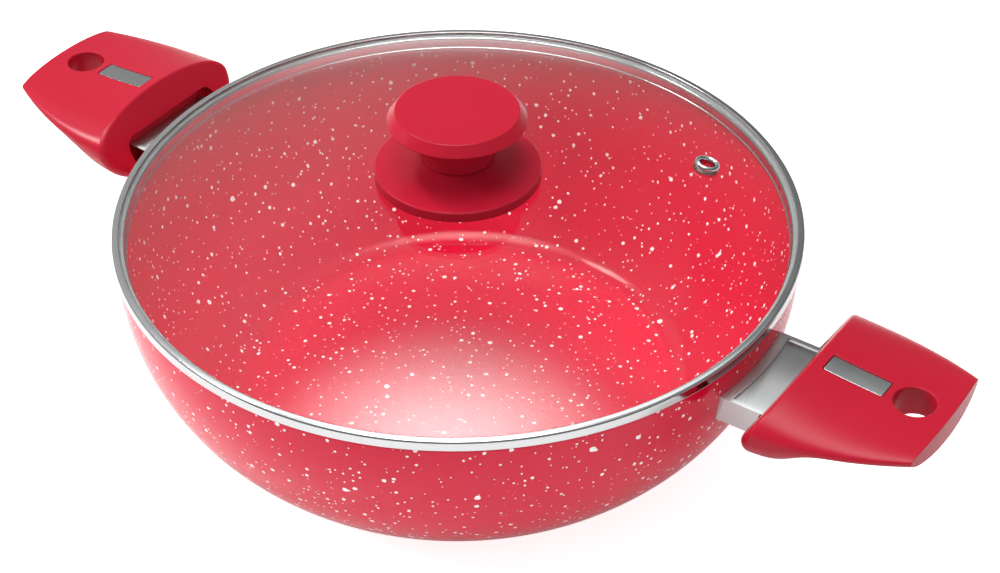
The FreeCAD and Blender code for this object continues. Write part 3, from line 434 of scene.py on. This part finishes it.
# %% Polish the bracket's rim and leave its plate satin
FACES_UP = 0.8  # least upward part of a normal
MIRROR = 0.06  # roughness of the polished faces
HALF_PLATE, CROWN_DEPTH, SLOPE = 23.5, 2.3, 0.042  # mm, mm, and crown depths per mm outward
bracket_steel, tree, surface = finish("polished_and_satin_bracket", "C9CBCC", Metallic=1.0,
                                      Roughness=0.1)
place = millimetres(tree)
parts = add(tree, "ShaderNodeSeparateXYZ", {"Vector": place})
face = add(tree, "ShaderNodeNewGeometry")
facing = add(tree, "ShaderNodeSeparateXYZ", {"Vector": face.outputs["True Normal"]})
on_plate = maths(tree, "GREATER_THAN", facing.outputs["Z"], FACES_UP)
lines = add(tree, "ShaderNodeVectorMath", {0: place, 1: (2.4, 0.03, 0.03)}, operation="MULTIPLY")
streak = noise(tree, lines, 1.0, 3.0)
satin = ramp(tree, streak, 0.3, 0.7, 0.27, 0.31)
dull = add(tree, "ShaderNodeMix", {"Factor": on_plate, "A": MIRROR, "B": satin})
join(tree, dull, surface, "Roughness")
scratches = maths(tree, "MULTIPLY", streak, on_plate)
scratched = emboss(tree, surface, scratches, 0.3, 0.0008)
across = maths(tree, "MULTIPLY", parts.outputs["Y"], 1 / HALF_PLATE)
fall = maths(tree, "MULTIPLY", across, across)
slope = maths(tree, "MULTIPLY_ADD", parts.outputs["X"], SLOPE, fall)
crown = maths(tree, "MULTIPLY", slope, on_plate)
crowned = add(tree, "ShaderNodeBump", {"Height": crown, "Strength": 1.0, "Normal": scratched,
                                       "Distance": CROWN_DEPTH * MM}, invert=True)
join(tree, crowned, surface, "Normal")
print("bracket steel of", len(tree.nodes), "nodes")

# %% [markdown]
# ### Tempered glass
# Float glass, pressed into a dome while soft and then chilled. It is clear, very slightly green,
# and its faces are a touch wavy from the press. Lamps shine through it with little loss. Cycles
# would need many samples to bring lamp light through two refracting faces, so for shadow rays
# the glass is simply clear.

# %% Pour the glass
glass, tree, surface = finish("tempered_glass", "F9FDFB", Roughness=0.0, IOR=1.5,
                              Transmission_Weight=1.0)
emboss(tree, surface, noise(tree, millimetres(tree), 0.02, 1.0), 0.2, 0.2)
ray = add(tree, "ShaderNodeLightPath")
clear = add(tree, "ShaderNodeBsdfTransparent", {"Color": colour("FCFEFD")})
choice = add(tree, "ShaderNodeMixShader", {0: ray.outputs["Is Shadow Ray"], 1: surface,
                                           2: clear})
out = next(node for node in tree.nodes if node.type == "OUTPUT_MATERIAL")
join(tree, choice, out, "Surface")
print("glass of", len(tree.nodes), "nodes")

# %% [markdown]
# ### Silicone
# The seals and the bead between glass and band are silicone: dull, grey, a little cloudy.

# %% Cast the silicone
silicone, tree, surface = finish("grey_silicone", "989A9B", Roughness=0.5, IOR=1.43)
tone = blend(tree, noise(tree, millimetres(tree), 0.4, 3.0), "8C8E90", "A4A6A7")
join(tree, tone, surface, "Base Color")
print("silicone of", len(tree.nodes), "nodes")

# %% [markdown]
# ### Turned magnetic steel
# The plate under the pan is ferritic steel, faced on a lathe after it is pressed in: rings about
# half a millimetre apart, which draw the light out into two opposite fans.

# %% Turn the base plate's face
RING_PITCH = 0.6  # mm
magnetic, tree, surface = finish("turned_magnetic_steel", "9C9D9E", Metallic=1.0, Roughness=0.34)
parts = add(tree, "ShaderNodeSeparateXYZ", {"Vector": millimetres(tree)})
flat = add(tree, "ShaderNodeCombineXYZ", {"X": parts.outputs["X"], "Y": parts.outputs["Y"]})
radius = add(tree, "ShaderNodeVectorMath", {0: flat}, operation="LENGTH")
phase = maths(tree, "MULTIPLY", radius.outputs["Value"], 2 * math.pi / RING_PITCH)
emboss(tree, surface, maths(tree, "SINE", phase), 0.6, 0.03)
print("magnetic steel of", len(tree.nodes), "nodes")


# %% [markdown]
# ## Turned pieces
# Pan, band, glass and knob are bodies of revolution. Blender's Screw modifier could spin a drawn
# line, but a few lines of mesh code keep full control of the number of sides. A section is a
# list of corners, and a corner with a third number is rounded by that radius, as sheet metal is
# where it is bent.


# %% Round the corners of a section
def arc(centre, radius, start, end, steps):
    """Points along an arc; angles in degrees."""
    angles = [math.radians(start + (end - start) * step / steps) for step in range(steps + 1)]
    return [(centre[0] + radius * math.cos(a), centre[1] + radius * math.sin(a)) for a in angles]


def softened(corners, closed=True, steps=6):
    """The corners as a line, each corner that has a radius turned into an arc."""
    points = []
    for index, corner in enumerate(corners):
        here = Vector(corner[:2])
        if len(corner) < 3 or not closed and index in (0, len(corners) - 1):
            points.append(tuple(here))
            continue
        back = (Vector(corners[index - 1][:2]) - here).normalized()
        on = (Vector(corners[(index + 1) % len(corners)][:2]) - here).normalized()
        half = back.angle(on) / 2
        middle = here + (back + on).normalized() * (corner[2] / math.sin(half))
        first = here + back * (corner[2] / math.tan(half)) - middle
        last = here + on * (corner[2] / math.tan(half)) - middle
        sweep = first.angle_signed(last)
        for step in range(steps + 1):
            turned = Matrix.Rotation(-sweep * step / steps, 2) @ first
            points.append(tuple(middle + turned))
    return points


print("a corner of a square becomes", len(softened([(0, 0, 1), (9, 0), (9, 9), (0, 9)])) - 3,
      "points")

# %% Make a piece, and spin a section round the upright axis
SHARP_FROM = 32  # degrees


def piece(name, mesh, material, body):
    """An object of a mesh, smooth but for its sharp edges, with its finish and its body."""
    mesh.shade_smooth()
    mesh.set_sharp_from_angle(angle=math.radians(SHARP_FROM))
    mesh.materials.clear()
    mesh.materials.append(material)
    made = bpy.data.objects.new(name, mesh)
    bpy.context.scene.collection.objects.link(made)
    even = made.modifiers.new("even_shading", "WEIGHTED_NORMAL")
    even.keep_sharp = True
    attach(made, body)
    return made


def spin(name, section, material, body, sides=288, middle=0.0):
    """A closed section, in mm of radius and height, turned round an axis at x = middle mm.

    A third number in a corner makes that ring a polygon of so many flats, as in a screw's
    socket.
    """
    mesh = bpy.data.meshes.new(name)
    rings = []
    shape = bmesh.new()
    for radius, height, *flats in section:
        if radius < 1e-6:
            rings.append([shape.verts.new((middle * MM, 0, height * MM))])
            continue
        ring = []
        for side in range(sides):
            a = 2 * math.pi * side / sides
            half = math.pi / flats[0] if flats else 0
            out = radius / math.cos(a % (2 * half) - half) if flats else radius
            x, y = middle + out * math.cos(a), out * math.sin(a)
            ring.append(shape.verts.new((x * MM, y * MM, height * MM)))
        rings.append(ring)
    for index, ring in enumerate(rings):
        other = rings[(index + 1) % len(rings)]
        if len(ring) == 1 and len(other) == 1:
            continue
        for side in range(sides):
            after = (side + 1) % sides
            corners = [ring[side % len(ring)], ring[after % len(ring)],
                       other[after % len(other)], other[side % len(other)]]
            shape.faces.new(list(dict.fromkeys(corners)))
    bmesh.ops.recalc_face_normals(shape, faces=shape.faces)
    shape.to_mesh(mesh)
    shape.free()
    return piece(name, mesh, material, body)


print("edges over", SHARP_FROM, "degrees stay sharp")

# %% [markdown]
# ## The pan
# The wall is two arcs. A corner of 44 mm rises from the base, and a wide flank turns upright
# under the rim. Inside, the flat floor ends in a tight fillet of 13 mm, the nose of the press
# tool, before the wall's own wide corner takes over. A tight curve squeezes a lamp's image,
# which is what draws the thin ring of light at the foot of the wall.

# %% Turn the pan
# Radii, heights and thicknesses are in mm, and FILLET_START is in degrees.
BASE_RADIUS, RIM_RADIUS, RIM_HEIGHT, WALL = 78.0, 139.0, 88.0, 3.2
CORNER, FLANK, UPRIGHT, LIP = 44.0, 97.235, 5, 1.3
FILLET, FILLET_START, FLOOR, FLOOR_RADIUS, FLOOR_STEP = 13.0, -50, 5.0, 90.6, 0.05
RECESS, RECESS_RADIUS, RECESS_ROUND = 0.95, 68.1, 0.3
corner_middle = (BASE_RADIUS, CORNER)
flank_middle = (RIM_RADIUS - FLANK, RIM_HEIGHT - UPRIGHT)
joint = math.degrees(math.atan2(corner_middle[1] - flank_middle[1],
                                corner_middle[0] - flank_middle[0]))

outside = arc(corner_middle, CORNER, -90, joint, 18) + arc(flank_middle, FLANK, joint, 0, 40)[1:]
inside = (arc(flank_middle, FLANK - WALL, 0, joint, 40)
          + arc(corner_middle, CORNER - WALL, joint, FILLET_START, 12)[1:])

# In the open lines below, the first and last points only give the roundings their direction.
rim = softened([
    (RIM_RADIUS, RIM_HEIGHT - 4),
    (RIM_RADIUS, RIM_HEIGHT, LIP),
    (RIM_RADIUS - WALL, RIM_HEIGHT, LIP),
    (RIM_RADIUS - WALL, RIM_HEIGHT - 4),
], closed=False)
floor_edge = FLOOR - FLOOR_STEP
fillet = arc((FLOOR_RADIUS, floor_edge + FILLET), FILLET, FILLET_START, -90, 24)
floor = softened([
    (FLOOR_RADIUS, floor_edge),
    (FLOOR_RADIUS - 0.4, floor_edge, 0.25),
    (FLOOR_RADIUS - 0.7, FLOOR, 0.4),
    (60, FLOOR),
], closed=False)
underside = softened([
    (40, RECESS),
    (RECESS_RADIUS, RECESS, RECESS_ROUND),
    (RECESS_RADIUS, 0.0, RECESS_ROUND),
    (74, 0.0),
], closed=False)
pan = spin("pan_shell", [(0, RECESS)] + underside + outside + rim[1:-1] + inside + fillet
           + floor[1:] + [(0, FLOOR)], enamel, "pan")
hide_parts("pan_body")
print("pan", len(pan.data.vertices), "points")

# %% [markdown]
# ## The steel under the pan
# The plate that an induction hob needs is pressed into the base, so its edge is rounded and it
# lies a hair inside the ring round it.

# %% Press in the plate
PLATE_RADIUS, PLATE_FOOT, PLATE_TOP, PLATE_ROUND = 68.0, 0.02, 0.98, 0.35
edge = softened([
    (30, PLATE_FOOT),
    (PLATE_RADIUS, PLATE_FOOT, PLATE_ROUND),
    (PLATE_RADIUS, PLATE_TOP),
], closed=False)
plate = spin("base_plate", [(0, PLATE_FOOT)] + edge + [(0, PLATE_TOP)], magnetic, "pan",
             sides=180)
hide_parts("induction_base_plate")
print("plate", len(plate.data.vertices), "points")

# %% [markdown]
# ## The lid's band
# A strip of 0.6 mm stainless is rolled to a ring and folded round the edge of the glass: a lip
# above, a shelf below that rests on the pan, and a skirt that keeps the lid from sliding off.
# Every fold is rounded, and the skirt's lower edge is hemmed so that it does not cut.

# %% Fold the band
BAND, SHEET, SHELF, BAND_TOP, LIP_UNDER = 140.0, 0.6, 88.05, 92.65, 92.0
LIP_INNER, SKIRT, HEM, SKIRT_FOOT, HEM_FOOT = 137.0, 134.8, 133.7, 82.9, 82.55
band = spin("lid_band", softened([
    (SKIRT, SKIRT_FOOT, 0.25),
    (SKIRT, SHELF, 0.7),
    (BAND, SHELF, 0.75),
    (BAND, BAND_TOP, 1.15),
    (LIP_INNER, BAND_TOP, 0.28),
    (LIP_INNER, LIP_UNDER, 0.28),
    (BAND - SHEET, LIP_UNDER, 0.5),
    (BAND - SHEET, SHELF + SHEET, 0.3),
    (SKIRT - SHEET, SHELF + SHEET, 1.3),
    (SKIRT - SHEET, 84.2, 0.3),
    (HEM, 84.2, 0.25),
    (HEM, HEM_FOOT, 0.5),
    (134.6, HEM_FOOT, 0.3),
]), polished, "lid")
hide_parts("lid_rim_band")
print("band", len(band.data.vertices), "points")

# %% [markdown]
# ## The sealant
# The glass is laid into the band on a bead of silicone, which fills the gap at its edge and
# creeps under it over the shelf. Through the glass it is the pale line inside the lip. A solid
# for the edge alone would leave a dark steel trough in sight, so the section has both legs.

# %% Lay the bead
BEAD_OUTER, BEAD_INNER, BEAD_FOOT, BEAD_TOP = 139.38, 134.95, 88.66, 91.98
GLASS_EDGE, UNDER_GLASS = 138.53, 88.74
bead = spin("sealant_bead", softened([
    (BEAD_INNER, BEAD_FOOT, 0.03),
    (BEAD_OUTER, BEAD_FOOT, 0.2),
    (BEAD_OUTER, BEAD_TOP, 0.2),
    (GLASS_EDGE, BEAD_TOP, 0.2),
    (GLASS_EDGE, UNDER_GLASS),
    (BEAD_INNER, UNDER_GLASS, 0.03),
]), silicone, "lid")
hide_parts("rim_sealant")
print("bead", len(bead.data.vertices), "points")

# %% [markdown]
# ## Screws
# Each grip hangs on one screw from below, and the knob on one through the glass. A head without
# a socket could not be turned, so these have a hexagon socket, a rounded edge and a chamfered
# end.

# %% Turn the screws
HEXAGON, SOCKET_SHARE, SOCKET_DEPTH, CHAMFER = 6, 0.42, 1.5, 0.4


def screw(name, node, body, middle, low, head, head_height, shank, top):
    """A cap screw from the underside of its head, at height low, to its end; all in mm."""
    half = head * SOCKET_SHARE
    socket = [(0, low + SOCKET_DEPTH), (half, low + SOCKET_DEPTH, HEXAGON),
              (half, low + 0.2, HEXAGON), (half + 0.25, low, HEXAGON)]
    outline = softened([
        (half + 0.6, low),
        (head, low, 0.5),
        (head, low + head_height, 0.15),
        (shank, low + head_height, 0.2),
        (shank, top - CHAMFER),
        (shank - CHAMFER, top),
    ], closed=False)
    made = spin(name, socket + outline + [(0, top)], plated, body, sides=96,
                middle=middle)
    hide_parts(node)
    return made


GRIP_SCREW = {"low": 65.05, "head": 3.6, "head_height": 2.4, "shank": 2.0, "top": 81.55}
KNOB_SCREW = {"low": 104.16, "head": 4.6, "head_height": 2.6, "shank": 2.4, "top": 130.54}
screw("grip_cap_screw_right", "grip_screw_right", "pan", 166.5, **GRIP_SCREW)
screw("grip_cap_screw_left", "grip_screw_left", "pan", -166.5, **GRIP_SCREW)
screw("knob_cap_screw", "knob_screw", "lid", 0.0, **KNOB_SCREW)
print("three screws")

# %% [markdown]
# ## Brackets and inlays
# A CAD edge is perfectly sharp and so it never catches the light. A buffed edge is eased by a
# few tenths of a millimetre and shows as a thin bright line. A copy of the CAD mesh gets that
# with a Bevel modifier: its triangles are first joined into whole faces, so that only true edges
# are bevelled.

# %% Ease their edges
WELD, FLAT_WITHIN, BEVEL_FROM = 2e-6, 0.6, 40  # metres, degrees, degrees


def eased(name, node, width, material, body):
    """A copy of a CAD node with its sharp edges eased by a width in mm."""
    source = nodes[node].data
    shape = bmesh.new()
    for vertex in source.vertices:
        shape.verts.new(vertex.co)
    shape.verts.ensure_lookup_table()
    for polygon in source.polygons:
        corners = list(dict.fromkeys(polygon.vertices))
        if len(corners) > 2:
            try:
                shape.faces.new([shape.verts[corner] for corner in corners])
            except ValueError:  # the same triangle twice
                pass
    bmesh.ops.remove_doubles(shape, verts=shape.verts, dist=WELD)
    bmesh.ops.dissolve_limit(shape, angle_limit=math.radians(FLAT_WITHIN), verts=shape.verts,
                             edges=shape.edges)
    bmesh.ops.recalc_face_normals(shape, faces=shape.faces)
    mesh = bpy.data.meshes.new(name)
    shape.to_mesh(mesh)
    shape.free()
    made = piece(name, mesh, material, body)
    bevel = made.modifiers.new("eased_edges", "BEVEL")
    bevel.width = width * MM
    bevel.segments = 3
    bevel.limit_method = "ANGLE"
    bevel.angle_limit = math.radians(BEVEL_FROM)
    made.modifiers.move(1, 0)
    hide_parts(node)
    return made


brackets = [eased(f"bracket_{side}", f"handle_bracket_{side}", 0.3, bracket_steel, "pan") for side in ("right", "left")]
inlays = [eased(f"inlay_{side}", f"grip_inlay_{side}", 0.22, brushed, "pan")
          for side in ("right", "left")]
print("brackets of", len(brackets[0].data.polygons), "faces")

# %% [markdown]
# ## The CAD pieces that keep their shape
# The other pieces have their true form already. They get their finish on the CAD mesh itself.

# %% Finish the CAD pieces
FINISHES = {
    "lid_glass": glass, "knob_seals": silicone,
    "knob_base": phenolic, "knob_grip": phenolic, "grip_right": phenolic, "grip_left": phenolic,
    "vent_grommet": polished, "vent_ring": polished, "knob_washer": plated,
    "weld_studs_right": plated, "weld_studs_left": plated,
    "stud_nuts_right": plated, "stud_nuts_left": plated,
    "knob_insert": brass, "grip_insert_right": brass, "grip_insert_left": brass,
}
for name, material in FINISHES.items():
    for slot in nodes[name].material_slots:
        slot.material = material
print(len(FINISHES), "CAD pieces finished")

# %% [markdown]
# ## Flags and filters on the lamps
# In the dome the left lamp and the strip would show as hard white patches over the food, and the
# strip would lay a veil over the reds. In a studio a black flag or a polarising filter keeps a
# lamp off a piece. Here each lamp is told what it may light: the strip is for the steel, the
# small lamp is for the left grip, and the dome has two lamps of its own in place of the overhead
# one, the left one and the low one.


# %% Tell each lamp what it may light
def flagged(lamp, pieces, state):
    """Lights only the pieces ("INCLUDE") or everything else ("EXCLUDE")."""
    group = bpy.data.collections.new(lamp.name + "_pieces")
    for made in pieces:
        group.objects.link(made)
    for entry in group.collection_objects:
        entry.light_linking.link_state = state
    lamp.light_linking.receiver_collection = group


steel_pieces = [band, *brackets, *inlays, nodes["vent_grommet"], nodes["vent_ring"]]
flagged(strip, steel_pieces, "INCLUDE")
flagged(grip_lamp, [nodes["grip_left"]], "INCLUDE")
for lamp in (dome_lamp, glint):
    flagged(lamp, [nodes["lid_glass"]], "INCLUDE")
for lamp in (overhead, left_lamp, low_lamp):
    flagged(lamp, [nodes["lid_glass"]], "EXCLUDE")
print("strip for", len(steel_pieces), "steel pieces")
